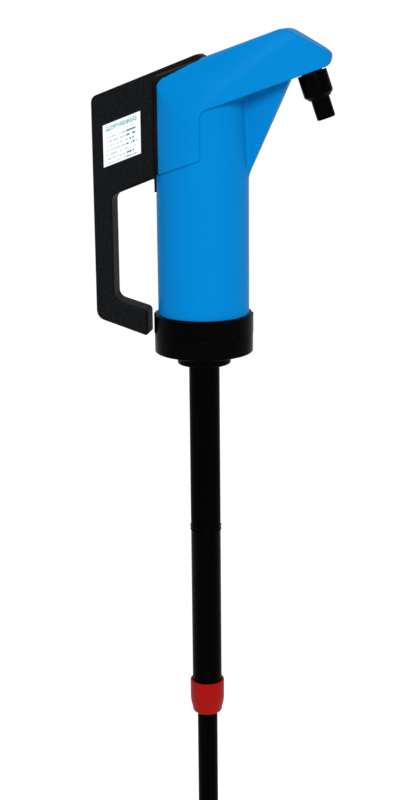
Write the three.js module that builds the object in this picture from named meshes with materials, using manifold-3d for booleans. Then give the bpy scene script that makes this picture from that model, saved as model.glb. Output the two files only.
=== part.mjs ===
// Hand lever drum pump with a telescopic suction tube.
// Millimetres, +Z up. The origin is on the pump axis, on the underside of the union nut, which is
// the face that seats on the drum's bung. +X points towards the spout.
import * as THREE from 'three';
import { mergeVertices } from 'three/addons/utils/BufferGeometryUtils.js';
import Module from 'manifold-3d';

const wasm = await Module();
wasm.setup();

// ---------------------------------------------------------------- driving dimensions
const FIT = 0.3; // gap kept between neighbouring pieces
const BIG_ROUND = 40; // facets on the barrel, the nut and the hood
const ROUND = 24; // facets on the other turned parts
const SMALL_ROUND = 16; // facets on pins and rods

const RISE = 0.354; // slope of the beak, the roof and the hood's lower edges
const BARREL_R = 47;
const BARREL_WALL = 3;
const BARREL_LOW = 18;
const HOOD_R = 49.3;
const HOOD_WALL = 2;
const ROOF_Z = 296.6; // roof height above the pump axis
const BEAK_LOW_Z = 244.7; // beak's lower edge, carried back to the pump axis
const SKIRT_LOW_Z = 198.5; // rear skirt's lower edge, carried to the pump axis
const SKIRT_FRONT_X = 7; // front edge of the rear skirt
const NOSE_X = 130.4;
const NOSE_R = 20;
const NOSE_BEVEL = 0.55;
const RIDGE_END_X = 85.6;
const ROOF_HALF = 25; // half width of the flat roof

const SLOT_HALF = 29.5; // hood's slot for the lever, at the rear
const SLOT_STEP_X = 5; // where the slot narrows to the lever's blade
const SLOT_FRONT_HALF = 15.5;
const SLOT_FRONT_X = 43;

const NUT_R = 51.5;
const NUT_TOP = 40.5;
const NUT_RING_TOP = 19.5; // plain ring below the grip lugs
const NUT_BORE_R = 47.5;
const NUT_LIP_TOP = 4.8;
const NUT_LUGS = 6;

const BOSS_R = 27.9;
const BOSS_H = 13;
const FLANGE_R = 43.5;
const FLANGE_TOP = 10.5;

const LINER_R = 42;
const LINER_BORE_R = 39;
const LINER_LOW = 13.6;
const LINER_TOP = 150;

const LEVER_T = 28; // lever thickness
const LEVER_BEVEL = 2.4;
const LEVER_X = -111.5; // lever's outer face
const LEVER_TOP_Z = 302.5;
const LEVER_TOP_SLOPE = 0.385;

const PIVOT = new THREE.Vector3(38, 0, 296.5);
const PIVOT_PIN_R = 3.9;
const BUSH_R = 6;
const PIN_REST_Z = 268.9; // rod pin at rest, on the pump axis
const ROD_R = 5;
const PIN_R = 3;

const SPOUT = new THREE.Vector3(110, 0, 283.6); // spout axis on the beak's lower edge plane
const SPOUT_TILT = -0.329; // radians about Y
const COLLAR_R = 14.8;
const NOZZLE_R = 9.35;
const NOZZLE_END = -47.2; // along the spout's own axis

const OUTER_TUBE_R = 16;
const OUTER_TUBE_BORE_R = 13.4;
const OUTER_TUBE_END = -393;
const INNER_TUBE_R = 11;
const INNER_TUBE_BORE_R = 9.2;
const INNER_TUBE_TOP = -40;
const INNER_TUBE_END = -560;
const CLAMP_R = 18.6;
const CLAMP_TOP = -373.5;
const CLAMP_END = -412;

// Solids that only cut or trim others reach past the whole pump.
const REAR = -80;
const FRONT = 180;
const ABOVE = 400;
const WIDE = 140;

// ---------------------------------------------------------------- materials
const plastic = (color, roughness) => new THREE.MeshStandardMaterial({ color, roughness, metalness: 0 });
const metal = (color, roughness) => new THREE.MeshStandardMaterial({ color, roughness, metalness: 1 });
const BLUE = plastic(0x0c86d4, 0.45);
const GRAINED_BLACK = plastic(0x1a1b1c, 0.6);
const GLOSS_BLACK = plastic(0x050506, 0.3);
const RED = plastic(0xa8160f, 0.4);
const NATURAL = plastic(0xe6e4dc, 0.5);
const RUBBER = plastic(0x202020, 0.8);
const PAPER = plastic(0xf2f4f4, 0.5);
const STEEL = metal(0xb8babd, 0.3);
const GLASS = plastic(0xbfd8d4, 0.1);

// ---------------------------------------------------------------- solids
// A closed geometry as a manifold solid.
function solid(geometry) {
  const bare = geometry.index ? geometry.clone() : geometry;
  bare.deleteAttribute('normal');
  bare.deleteAttribute('uv');
  const merged = mergeVertices(bare, 1e-4);
  const vertProperties = new Float32Array(merged.attributes.position.array);
  const triVerts = new Uint32Array(merged.index.array);
  const made = new wasm.Manifold(new wasm.Mesh({ numProp: 3, vertProperties, triVerts }));
  if (made.volume() >= 0) return made;
  const flipped = triVerts.slice();
  for (let i = 0; i < flipped.length; i += 3) {
    flipped[i] = triVerts[i + 1];
    flipped[i + 1] = triVerts[i];
  }
  return new wasm.Manifold(new wasm.Mesh({ numProp: 3, vertProperties, triVerts: flipped }));
}

// Revolves a closed outline of [radius, z] points about Z.
function turned(outline, facets = ROUND) {
  const points = outline.map(([r, z]) => new THREE.Vector2(r, z));
  points.push(points[0].clone());
  const geometry = new THREE.LatheGeometry(points, facets);
  geometry.rotateX(Math.PI / 2);
  return solid(geometry);
}

// A plain ring or tube.
function ring(inner, outer, low, high, facets = ROUND) {
  return turned([[inner, low], [outer, low], [outer, high], [inner, high]], facets);
}

// A plain round bar along Z.
function bar(radius, low, high, facets = SMALL_ROUND) {
  const geometry = new THREE.CylinderGeometry(radius, radius, high - low, facets);
  geometry.rotateX(Math.PI / 2);
  geometry.translate(0, 0, (low + high) / 2);
  return solid(geometry);
}

// A plain round bar along Y, centred on a point.
function crossBar(radius, length, x, z, facets = SMALL_ROUND) {
  const geometry = new THREE.CylinderGeometry(radius, radius, length, facets);
  geometry.translate(x, 0, z);
  return solid(geometry);
}

function box(x0, x1, y0, y1, z0, z1) {
  const geometry = new THREE.BoxGeometry(x1 - x0, y1 - y0, z1 - z0);
  geometry.translate((x0 + x1) / 2, (y0 + y1) / 2, (z0 + z1) / 2);
  return solid(geometry);
}

// A flat outline of [u, v, radius] corners, each rounded by its radius.
function roundedShape(corners) {
  const shape = new THREE.Shape();
  const count = corners.length;
  corners.forEach(([u, v, radius = 0], i) => {
    const corner = new THREE.Vector2(u, v);
    const before = new THREE.Vector2(...corners[(i + count - 1) % count].slice(0, 2)).sub(corner);
    const after = new THREE.Vector2(...corners[(i + 1) % count].slice(0, 2)).sub(corner);
    const half = Math.abs(before.angleTo(after)) / 2;
    const reach = radius / Math.tan(half);
    const start = before.setLength(reach).add(corner);
    const end = after.setLength(reach).add(corner);
    if (i === 0) shape.moveTo(start.x, start.y);
    else shape.lineTo(start.x, start.y);
    if (radius > 0) shape.quadraticCurveTo(corner.x, corner.y, end.x, end.y);
  });
  shape.closePath();
  return shape;
}

// Extrudes an outline drawn in X and Z through a thickness centred on Y = 0.
function sidePlate(corners, thickness, options = {}) {
  const { bevel = 0, curveSegments = 5 } = options;
  const geometry = new THREE.ExtrudeGeometry(roundedShape(corners), {
    depth: thickness - 2 * bevel,
    bevelEnabled: bevel > 0,
    bevelThickness: bevel,
    bevelSize: bevel,
    bevelOffset: -bevel,
    bevelSegments: 2,
    curveSegments,
  });
  geometry.translate(0, 0, -(thickness - 2 * bevel) / 2);
  geometry.rotateX(Math.PI / 2);
  return solid(geometry);
}

// Extrudes an outline drawn in X and Y between two heights.
function planPrism(shape, low, high, curveSegments = 8) {
  const geometry = new THREE.ExtrudeGeometry(shape, { depth: high - low, bevelEnabled: false, curveSegments });
  geometry.translate(0, 0, low);
  return solid(geometry);
}

// Sweeps a round section along a path.
function pipe(path, radius, steps, facets) {
  const section = new THREE.Shape();
  section.absarc(0, 0, radius, 0, 2 * Math.PI);
  const geometry = new THREE.ExtrudeGeometry(section, {
    steps, curveSegments: facets / 2, bevelEnabled: false, extrudePath: path,
  });
  return solid(geometry);
}

function geometryOf(manifold) {
  const mesh = manifold.getMesh();
  const geometry = new THREE.BufferGeometry();
  geometry.setAttribute('position', new THREE.BufferAttribute(new Float32Array(mesh.vertProperties), 3));
  geometry.setIndex(new THREE.BufferAttribute(new Uint32Array(mesh.triVerts), 1));
  geometry.computeVertexNormals();
  return geometry;
}

const pump = new THREE.Group();

function part(name, manifold, material, parent = pump) {
  const mesh = new THREE.Mesh(geometryOf(manifold), material);
  mesh.name = name;
  parent.add(mesh);
  return mesh;
}

const roofAt = (x) => ROOF_Z + RISE * x;
const beakLowAt = (x) => BEAK_LOW_Z + RISE * x;
const skirtLowAt = (x) => SKIRT_LOW_Z + RISE * x;
const leverTopAt = (x) => LEVER_TOP_Z + LEVER_TOP_SLOPE * x;

// ---------------------------------------------------------------- hood and body outlines
// The hood seen from above: the rear half follows the barrel, and the sides run in to a round nose.
// The inset moves every wall inwards.
function hoodPlan(inset) {
  const rear = HOOD_R - inset;
  const nose = NOSE_R - inset;
  const noseX = NOSE_X - NOSE_R;
  const turn = Math.acos((rear - nose) / noseX);
  const shape = new THREE.Shape();
  shape.absarc(0, 0, rear, turn, 2 * Math.PI - turn);
  shape.absarc(noseX, 0, nose, -turn, turn);
  shape.closePath();
  return shape;
}

// The hood seen from the end of the beak: upright at the lower edge, leaning in to a narrow flat roof.
function hoodVault(inset) {
  const height = (ROOF_Z - BEAK_LOW_Z) * Math.cos(Math.atan(RISE));
  const low = HOOD_R - inset;
  const high = ROOF_HALF - inset / 2;
  const top = height - inset;
  const shape = new THREE.Shape();
  shape.moveTo(-low, REAR);
  shape.lineTo(-low, 0);
  shape.bezierCurveTo(-low + 3, 16, -high - 14, 36, -high, top);
  shape.lineTo(high, top);
  shape.bezierCurveTo(high + 14, 36, low - 3, 16, low, 0);
  shape.lineTo(low, REAR);
  shape.closePath();
  const depth = FRONT - REAR;
  const geometry = new THREE.ExtrudeGeometry(shape, { depth, bevelEnabled: false, curveSegments: 8 });
  geometry.rotateX(Math.PI / 2);
  geometry.rotateZ(Math.PI / 2);
  geometry.translate(REAR, 0, 0);
  geometry.rotateY(-Math.atan(RISE));
  geometry.translate(0, 0, BEAK_LOW_Z);
  return solid(geometry);
}

// The hood seen from the side. An inset outline runs out past the lower edges, so that a hood cut
// by it stays open underneath.
function hoodSide(inset) {
  const rise = inset * Math.hypot(1, RISE);
  const open = inset > 0 ? 60 : 0;
  const noseX = NOSE_X - inset;
  const ridgeZ = roofAt(RIDGE_END_X);
  const bevelAt = (x) => ridgeZ - NOSE_BEVEL * (x - RIDGE_END_X) - inset * Math.hypot(1, NOSE_BEVEL);
  const ridgeX = RIDGE_END_X - inset * 0.1;
  const frontX = SKIRT_FRONT_X - inset;
  return sidePlate([
    [-HOOD_R + inset, skirtLowAt(-HOOD_R) - open],
    [frontX, skirtLowAt(frontX) - open],
    [frontX, beakLowAt(frontX) - open, open > 0 ? 0 : 4],
    [noseX, beakLowAt(noseX) - open, open > 0 ? 0 : 7],
    [noseX, bevelAt(noseX), 6],
    [ridgeX, roofAt(ridgeX) - rise, 12],
    [-HOOD_R + inset, roofAt(-HOOD_R) - rise, 13],
  ], WIDE);
}

function hoodSolid(inset) {
  return planPrism(hoodPlan(inset), 100, ABOVE, 36)
    .intersect(hoodVault(inset))
    .intersect(hoodSide(inset));
}

// The slot in the hood that the lever swings out through.
function leverSlot(gap) {
  const wide = SLOT_HALF - gap;
  const narrow = SLOT_FRONT_HALF - gap;
  const step = SLOT_STEP_X - gap;
  const shape = roundedShape([
    [REAR, -wide], [-30, -wide], [step - 2, -ROOF_HALF + gap, 4], [step, -narrow],
    [SLOT_FRONT_X, -narrow, 5], [SLOT_FRONT_X, narrow, 5],
    [step, narrow], [step - 2, ROOF_HALF - gap, 4], [-30, wide], [REAR, wide],
  ]);
  return planPrism(shape, 150, ABOVE, 5);
}

// The slot cuts only the hood's roof and its rear wall.
const ROOF_DEPTH = 40;
const roofSlab = sidePlate([
  [REAR, roofAt(REAR) - ROOF_DEPTH], [70, roofAt(70) - ROOF_DEPTH], [70, ABOVE], [REAR, ABOVE],
], WIDE);
const rearSlab = box(REAR, -30, -WIDE / 2, WIDE / 2, 150, ABOVE);
const slotZone = roofSlab.add(rearSlab);
const hoodShell = hoodSolid(0).subtract(hoodSolid(HOOD_WALL));

// ---------------------------------------------------------------- pump body
const FLOOR_LOW = 1.2; // the floor that closes the beak underneath, above its lower edge
const FLOOR_TOP = 4.2;

function makeBody() {
  const topPlane = sidePlate([
    [REAR, 0], [FRONT, 0], [FRONT, beakLowAt(FRONT) + FLOOR_TOP], [REAR, beakLowAt(REAR) + FLOOR_TOP],
  ], WIDE);
  const above = sidePlate([
    [REAR, beakLowAt(REAR) - 2], [FRONT, beakLowAt(FRONT) - 2], [FRONT, ABOVE], [REAR, ABOVE],
  ], WIDE);
  const outsideVault = above.subtract(hoodVault(HOOD_WALL + FIT));
  const tube = ring(BARREL_R - BARREL_WALL, BARREL_R, BARREL_LOW, ABOVE, BIG_ROUND)
    .intersect(topPlane)
    .subtract(outsideVault);
  const floorSlab = sidePlate([
    [10, beakLowAt(10) + FLOOR_LOW], [FRONT, beakLowAt(FRONT) + FLOOR_LOW],
    [FRONT, beakLowAt(FRONT) + FLOOR_TOP], [10, beakLowAt(10) + FLOOR_TOP],
  ], WIDE);
  const floor = floorSlab
    .intersect(planPrism(hoodPlan(HOOD_WALL + FIT), 100, ABOVE, 36))
    .intersect(hoodSide(HOOD_WALL + FIT))
    .subtract(bar(BARREL_R - BARREL_WALL / 2, 100, ABOVE, BIG_ROUND));
  const keel = sidePlate([
    [45, 179.5], [46.8, 180.5], [89.5, beakLowAt(89.5) + 0.5], [90.5, beakLowAt(90.5) + 2.2],
    [45, beakLowAt(45) + 2.2],
  ], 18);
  const ear = (side) => sidePlate([
    [PIVOT.x - 12, beakLowAt(PIVOT.x) - 6], [PIVOT.x + 12, beakLowAt(PIVOT.x) + 3],
    [PIVOT.x + 9, PIVOT.z + 8.5, 8], [PIVOT.x - 9, PIVOT.z + 8.5, 8],
  ], 6).translate([0, side * 18, 0]);
  const rearSlot = sidePlate([
    [REAR, 163.5], [-30, 163.5], [-30, ABOVE], [REAR, ABOVE],
  ], LEVER_T + 3);
  const locatingRing = ring(LINER_R + FIT, BARREL_R - 1, 120, 124, BIG_ROUND);
  return tube
    .add(floor)
    .add(keel)
    .add(ear(1))
    .add(ear(-1))
    .add(locatingRing)
    .subtract(rearSlot)
    .subtract(crossBar(PIVOT_PIN_R + 0.25, WIDE, PIVOT.x, PIVOT.z))
    .subtract(spoutTool(bar(11, -20, 30)));
}

// Moves a solid made on the spout's own axis to its place in the pump.
function spoutTool(manifold) {
  const geometry = geometryOf(manifold);
  geometry.rotateY(SPOUT_TILT);
  geometry.translate(SPOUT.x, SPOUT.y, SPOUT.z);
  return solid(geometry);
}

part('pump_body', makeBody(), BLUE);
part('hood_cover', hoodShell.subtract(leverSlot(0).intersect(slotZone)), BLUE);

// ---------------------------------------------------------------- lever
function makeLever() {
  const blade = sidePlate([
    [LEVER_X, leverTopAt(LEVER_X), 8],
    [-2, leverTopAt(-2), 5],
    [9, roofAt(9) - 3.6, 5],
    [PIVOT.x + 10, PIVOT.z + 10, 7.5],
    [PIVOT.x + 10, PIVOT.z - 10, 8.5],
    [PIVOT.x - 4, PIVOT.z - 11, 6],
    [10, 255, 8],
    [-20, 246, 8],
    [-41.5, 232, 6],
    [-41.5, 181.2, 5],
    [-92, 160.9, 9],
    [-92, 53.8, 9],
    [-57, 43.2, 5],
    [-57, 15.5, 5],
    [LEVER_X, 33.6, 11],
  ], LEVER_T, { bevel: LEVER_BEVEL, curveSegments: 5 });
  const stop = sidePlate([
    [-41.5, 190], [-41.5, 165, 2], [-47.5, 165, 2], [-47.5, 190],
  ], LEVER_T - 2);
  const shield = hoodSolid(0.05).subtract(hoodSolid(HOOD_WALL - 0.2))
    .intersect(leverSlot(1))
    .intersect(slotZone)
    .intersect(box(REAR, 0, -WIDE / 2, WIDE / 2, 184, ABOVE));
  const rodGroove = sidePlate([
    [-9, 200], [27, 200], [27, 274], [18, 284], [-4, 284], [-9, 278],
  ], 11.4);
  const reach = new THREE.Vector2(PIVOT.x, PIVOT.z - PIN_REST_Z);
  const near = 34.5 / reach.length();
  const far = 50.5 / reach.length();
  const drop = 0.7;
  const half = 4.3;
  const along = reach.clone().normalize();
  const centreX = (t) => PIVOT.x - reach.x * t + along.y * drop;
  const centreZ = (t) => PIVOT.z - reach.y * t - along.x * drop;
  const pinSlot = sidePlate([
    [centreX(near) - along.y * half, centreZ(near) + along.x * half, 3.8],
    [centreX(far) - along.y * half, centreZ(far) + along.x * half, 3.8],
    [centreX(far) + along.y * half, centreZ(far) - along.x * half, 3.8],
    [centreX(near) + along.y * half, centreZ(near) - along.x * half, 3.8],
  ], LEVER_T + 4);
  return blade
    .add(stop)
    .add(shield)
    .subtract(rodGroove)
    .subtract(pinSlot)
    .subtract(crossBar(BUSH_R + FIT, WIDE, PIVOT.x, PIVOT.z));
}

part('lever_handle', makeLever(), GRAINED_BLACK);
part('lever_label', sidePlate([
  [-99, 189.5], [-60, 204.5], [-60, 247.5], [-99, 232.5],
], 0.4).translate([0, -LEVER_T / 2 - 0.25, 0]), PAPER);

const bush = ring(PIVOT_PIN_R + 0.25, BUSH_R, 0, 11.5, SMALL_ROUND).rotate([90, 0, 0]);
part('pivot_bush_left', bush.translate([PIVOT.x, 13.7, PIVOT.z]), NATURAL);
part('pivot_bush_right', bush.translate([PIVOT.x, -2.2, PIVOT.z]), NATURAL);
part('pivot_pin', crossBar(PIVOT_PIN_R, 44, PIVOT.x, PIVOT.z), STEEL);

// ---------------------------------------------------------------- piston rod and piston
const PISTON_LOW = 52;
const PISTON_TOP = PISTON_LOW + 12;

function makeRod() {
  const head = sidePlate([
    [-9, PIN_REST_Z - 16, 3], [9, PIN_REST_Z - 16, 3], [9, PIN_REST_Z + 9, 8], [-9, PIN_REST_Z + 9, 8],
  ], 10);
  return bar(ROD_R, PISTON_TOP + 6.5, PIN_REST_Z - 10)
    .add(bar(ROD_R - 1, PISTON_LOW - 9, PISTON_TOP + 7))
    .add(head)
    .subtract(crossBar(PIN_R + 0.15, 30, 0, PIN_REST_Z));
}

part('piston_rod', makeRod(), STEEL);
part('rod_pin', crossBar(PIN_R, LEVER_T - 1, 0, PIN_REST_Z), STEEL);

function makePiston() {
  const core = turned([
    [4.3, PISTON_LOW], [38.3, PISTON_LOW], [38.3, PISTON_LOW + 3.5], [35.5, PISTON_LOW + 3.5],
    [35.5, PISTON_LOW + 8.5], [38.3, PISTON_LOW + 8.5], [38.3, PISTON_TOP], [4.3, PISTON_TOP],
  ]);
  let cut = core;
  for (let i = 0; i < 6; i += 1) {
    const angle = (i * Math.PI) / 3;
    const port = bar(6.5, PISTON_LOW - 2, PISTON_TOP + 2, 16);
    cut = cut.subtract(port.translate([20 * Math.cos(angle), 20 * Math.sin(angle), 0]));
  }
  return cut;
}

part('piston', makePiston(), NATURAL);
part('piston_seal', turned([
  [35.8, PISTON_LOW + 3.8], [38.7, PISTON_LOW + 3.8], [38.7, PISTON_LOW + 8.2], [35.8, PISTON_LOW + 8.2],
]), RUBBER);
part('piston_valve', ring(4.4, 30, PISTON_TOP + 0.1, PISTON_TOP + 2.1), RUBBER);

// A hexagon nut on the rod's lower end.
const pistonNut = bar(8, PISTON_LOW - 6.3, PISTON_LOW - FIT, 6)
  .subtract(bar(ROD_R - 0.8, PISTON_LOW - 10, PISTON_LOW));
part('piston_nut', pistonNut, STEEL);

// ---------------------------------------------------------------- cylinder
function makeLiner() {
  return turned([
    [LINER_BORE_R, LINER_LOW], [BARREL_R - 0.8, LINER_LOW], [BARREL_R - 0.8, LINER_LOW + 3.8],
    [LINER_R, LINER_LOW + 3.8], [LINER_R, LINER_TOP], [LINER_BORE_R, LINER_TOP],
  ]);
}

part('cylinder_liner', makeLiner(), NATURAL);

const OUTLET_X = 28.5;
const DUCT_R = 9;
const DUCT_BORE_R = 7;

function makeHead() {
  const plate = turned([
    [ROD_R + 2.6, LINER_TOP - 8], [LINER_BORE_R - FIT, LINER_TOP - 8], [LINER_BORE_R - FIT, LINER_TOP + FIT],
    [LINER_R, LINER_TOP + FIT], [LINER_R, LINER_TOP + 5], [13, LINER_TOP + 5], [13, LINER_TOP + 14],
    [ROD_R + 2.6, LINER_TOP + 14],
  ]);
  const socket = bar(DUCT_R + 2.2, LINER_TOP + 1, LINER_TOP + 12).translate([OUTLET_X, 0, 0]);
  const seat = bar(DUCT_R + FIT, LINER_TOP + 6, LINER_TOP + 20).translate([OUTLET_X, 0, 0]);
  const port = bar(DUCT_BORE_R, LINER_TOP - 12, LINER_TOP + 20).translate([OUTLET_X, 0, 0]);
  return plate.add(socket).subtract(seat).subtract(port);
}

part('cylinder_head', makeHead(), NATURAL);
part('rod_gland', turned([
  [ROD_R + FIT, LINER_TOP + 4], [ROD_R + 2.4, LINER_TOP + 4], [ROD_R + 2.4, LINER_TOP + 14.3],
  [11, LINER_TOP + 14.3], [11, LINER_TOP + 19], [ROD_R + FIT, LINER_TOP + 19],
], SMALL_ROUND), GLOSS_BLACK);
part('rod_seal', ring(ROD_R + FIT, ROD_R + 2.3, LINER_TOP - 6, LINER_TOP + 3.6, SMALL_ROUND), RUBBER);

// ---------------------------------------------------------------- outlet duct
function ductPath(low) {
  const path = new THREE.CurvePath();
  const start = new THREE.Vector3(OUTLET_X, 0, low);
  const bendA = new THREE.Vector3(OUTLET_X, 0, 246);
  const cornerA = new THREE.Vector3(OUTLET_X, 0, 266.9);
  const bendB = new THREE.Vector3(46, 0, 277.4);
  const cornerB = new THREE.Vector3(102.2, 0, 303.3);
  const bendC = cornerB.clone().lerp(bendB, 0.27);
  const down = new THREE.Vector3(Math.sin(-SPOUT_TILT), 0, -Math.cos(SPOUT_TILT));
  const bendD = SPOUT.clone().addScaledVector(down, -7);
  const end = SPOUT.clone().addScaledVector(down, -4.9);
  path.add(new THREE.LineCurve3(start, bendA));
  path.add(new THREE.QuadraticBezierCurve3(bendA, cornerA, bendB));
  path.add(new THREE.LineCurve3(bendB, bendC));
  path.add(new THREE.QuadraticBezierCurve3(bendC, cornerB, bendD));
  path.add(new THREE.LineCurve3(bendD, end));
  return path;
}

const DUCT_STEPS = 24;
const sweepDuct = (radius, overrun) => pipe(ductPath(LINER_TOP + 6.4 - overrun), radius, DUCT_STEPS, 12);
const ductMouth = spoutTool(bar(DUCT_BORE_R, 2, 9, 12));
part('outlet_duct', sweepDuct(DUCT_R, 0).subtract(sweepDuct(DUCT_BORE_R, 4)).subtract(ductMouth), NATURAL);

// ---------------------------------------------------------------- spout
const spout = new THREE.Group();
spout.position.copy(SPOUT);
spout.rotation.y = SPOUT_TILT;
pump.add(spout);

part('spout_collar', turned([
  [7.2, 4], [10.6, 4], [10.6, -0.6], [COLLAR_R, -0.6], [COLLAR_R, -20.5], [COLLAR_R - 0.7, -23],
  [COLLAR_R - 2.3, -25.2], [NOZZLE_R + 1.6, -26.5], [NOZZLE_R + FIT, -26.5], [NOZZLE_R + FIT, -10],
  [7.2, -10],
], ROUND), GLOSS_BLACK, spout);
part('spout_seal', ring(7.2, NOZZLE_R, -11.8, -10.2, SMALL_ROUND), RUBBER, spout);
part('spout_nozzle', turned([
  [6.8, -12.1], [NOZZLE_R, -12.1], [NOZZLE_R, NOZZLE_END + 1.2], [NOZZLE_R - 1, NOZZLE_END],
  [6.8, NOZZLE_END],
], ROUND), GLOSS_BLACK, spout);

// ---------------------------------------------------------------- base, nut and suction valve
part('base_flange', turned([
  [OUTER_TUBE_R + 0.2, -BOSS_H], [BOSS_R - 1.2, -BOSS_H], [BOSS_R, -BOSS_H + 1.2], [BOSS_R, 5.1],
  [FLANGE_R, 5.1], [FLANGE_R, FLANGE_TOP], [10.5, FLANGE_TOP], [9, FLANGE_TOP - 3], [9, 4],
  [OUTER_TUBE_R + 0.2, 4],
]), GLOSS_BLACK);
part('base_gasket', ring(36, 46, FLANGE_TOP + 0.3, FLANGE_TOP + 2.8), RUBBER);

function makeNut() {
  const sleeve = turned([
    [BOSS_R + 0.4, 0], [NUT_R - 1.4, 0], [NUT_R - 0.4, 1],
    [NUT_R - 0.4, NUT_RING_TOP], [NUT_R - 1.6, NUT_RING_TOP + 0.6], [NUT_R - 1.6, NUT_TOP],
    [NUT_BORE_R, NUT_TOP], [NUT_BORE_R, NUT_LIP_TOP], [BOSS_R + 0.4, NUT_LIP_TOP],
  ], BIG_ROUND);
  const lugRing = turned([
    [NUT_R - 2.4, NUT_RING_TOP - 1], [NUT_R, NUT_RING_TOP + 0.4], [NUT_R, NUT_TOP - 1], [NUT_R - 1, NUT_TOP],
    [NUT_R - 2.4, NUT_TOP],
  ], BIG_ROUND);
  let lugs = lugRing;
  for (let i = 0; i < NUT_LUGS; i += 1) {
    const gap = box(NUT_R - 8, NUT_R + 8, -4.5, 4.5, NUT_RING_TOP - 2, NUT_TOP + 2);
    lugs = lugs.subtract(gap.rotate([0, 0, (i * 360) / NUT_LUGS + 20]));
  }
  return sleeve.add(lugs);
}

part('union_nut', makeNut(), GLOSS_BLACK);

const BALL_R = 10;
const ballGeometry = new THREE.SphereGeometry(BALL_R, 16, 12);
ballGeometry.translate(0, 0, FLANGE_TOP + 4.6);
part('suction_ball', solid(ballGeometry), GLASS);

function makeCage() {
  const top = FLANGE_TOP + BALL_R * 2 + 5;
  let cage = turned([
    [11.6, FLANGE_TOP + 0.3], [26, FLANGE_TOP + 0.3], [26, FLANGE_TOP + 3], [14, FLANGE_TOP + 3],
    [14, top], [4, top], [4, top - 2.4], [11.6, top - 2.4],
  ], ROUND);
  for (let i = 0; i < 4; i += 1) {
    const window = box(5, 20, -4.6, 4.6, FLANGE_TOP + 5, top - 3);
    cage = cage.subtract(window.rotate([0, 0, i * 90]));
  }
  return cage;
}

part('valve_cage', makeCage(), NATURAL);

// ---------------------------------------------------------------- suction tubes
const BEAD = 0.8;
const bead = (z) => [
  [OUTER_TUBE_R, z + 1.4], [OUTER_TUBE_R + BEAD, z + 0.6],
  [OUTER_TUBE_R + BEAD, z - 0.6], [OUTER_TUBE_R, z - 1.4],
];
part('outer_tube', turned([
  [OUTER_TUBE_BORE_R, 3.7], [OUTER_TUBE_R, 3.7], ...bead(-193), ...bead(-197),
  [OUTER_TUBE_R, CLAMP_TOP - 14], [OUTER_TUBE_R - BEAD, CLAMP_TOP - 15],
  [OUTER_TUBE_R - BEAD, OUTER_TUBE_END], [OUTER_TUBE_BORE_R, OUTER_TUBE_END],
], ROUND), GLOSS_BLACK);

// The collet is split on one side, so that the nut closes it on the inner tube.
const collet = turned([
  [INNER_TUBE_R + 0.25, -394], [15, -394], [15, -400.4], [12.6, -409.2], [INNER_TUBE_R + 0.25, -409.2],
], ROUND).subtract(box(0, 30, -0.8, 0.8, -420, -390));
part('clamp_collet', collet, NATURAL);
part('clamp_seal', ring(INNER_TUBE_R + 0.25, 13.1, -392.6, -389.8, ROUND), RUBBER);
part('clamp_nut', turned([
  [OUTER_TUBE_R + 0.3, CLAMP_TOP], [CLAMP_R - 0.8, CLAMP_TOP], [CLAMP_R, CLAMP_TOP - 1.2],
  [CLAMP_R, -396], [CLAMP_R - 0.4, -401], [CLAMP_R - 1.7, -406], [CLAMP_R - 3.7, -409.8],
  [INNER_TUBE_R + 1.2, CLAMP_END], [INNER_TUBE_R + 0.3, CLAMP_END], [INNER_TUBE_R + 0.3, -409.7],
  [INNER_TUBE_R + 1.9, -409.7], [15.4, -400.5], [15.4, -393.6], [OUTER_TUBE_R + 0.3, -392.8],
], ROUND), RED);

function makeInnerTube() {
  let tube = ring(INNER_TUBE_BORE_R, INNER_TUBE_R, INNER_TUBE_END, INNER_TUBE_TOP, ROUND);
  for (let i = 0; i < 2; i += 1) {
    const notch = box(-20, 20, -3.5, 3.5, INNER_TUBE_END - 5, INNER_TUBE_END + 7);
    tube = tube.subtract(notch.rotate([0, 0, i * 90 + 45]));
  }
  return tube;
}

part('inner_tube', makeInnerTube(), GLOSS_BLACK);
part('tube_stop_ring', ring(INNER_TUBE_R + 0.1, 13, INNER_TUBE_TOP - 6, INNER_TUBE_TOP - 1, ROUND), NATURAL);

export default pump;
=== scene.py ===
"""Visual model of the hand lever drum pump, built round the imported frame.

Lengths inside the shape functions are in millimetres, as in the frame's own design, and every mesh is
made in metres. The pump axis is Z, and +X points towards the spout.
"""
import math

import bmesh
import bpy
import numpy as np
from mathutils import Matrix, Vector


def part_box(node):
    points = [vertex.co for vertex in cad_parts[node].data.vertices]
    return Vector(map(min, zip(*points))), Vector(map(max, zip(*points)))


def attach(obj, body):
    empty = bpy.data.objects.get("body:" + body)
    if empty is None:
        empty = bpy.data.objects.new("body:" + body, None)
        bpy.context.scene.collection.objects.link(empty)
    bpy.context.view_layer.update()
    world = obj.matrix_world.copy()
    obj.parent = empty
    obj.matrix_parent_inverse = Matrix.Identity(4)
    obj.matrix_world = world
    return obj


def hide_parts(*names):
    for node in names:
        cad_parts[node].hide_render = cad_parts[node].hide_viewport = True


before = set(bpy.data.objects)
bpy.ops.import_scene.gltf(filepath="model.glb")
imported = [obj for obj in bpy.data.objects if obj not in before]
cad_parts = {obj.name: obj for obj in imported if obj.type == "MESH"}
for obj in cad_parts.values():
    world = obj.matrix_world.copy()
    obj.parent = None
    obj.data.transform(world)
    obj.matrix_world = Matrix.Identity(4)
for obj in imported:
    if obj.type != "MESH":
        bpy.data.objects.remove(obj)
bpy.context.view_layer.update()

MM = 0.001


def corner(node, side, axis):
    """One coordinate of a CAD node's box in millimetres: side 0 is its low end, 1 its high end."""
    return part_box(node)[side][axis] / MM


def midpoint(node, axis):
    """The middle of a CAD node's box along one axis, in millimetres."""
    return (corner(node, 0, axis) + corner(node, 1, axis)) / 2


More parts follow.
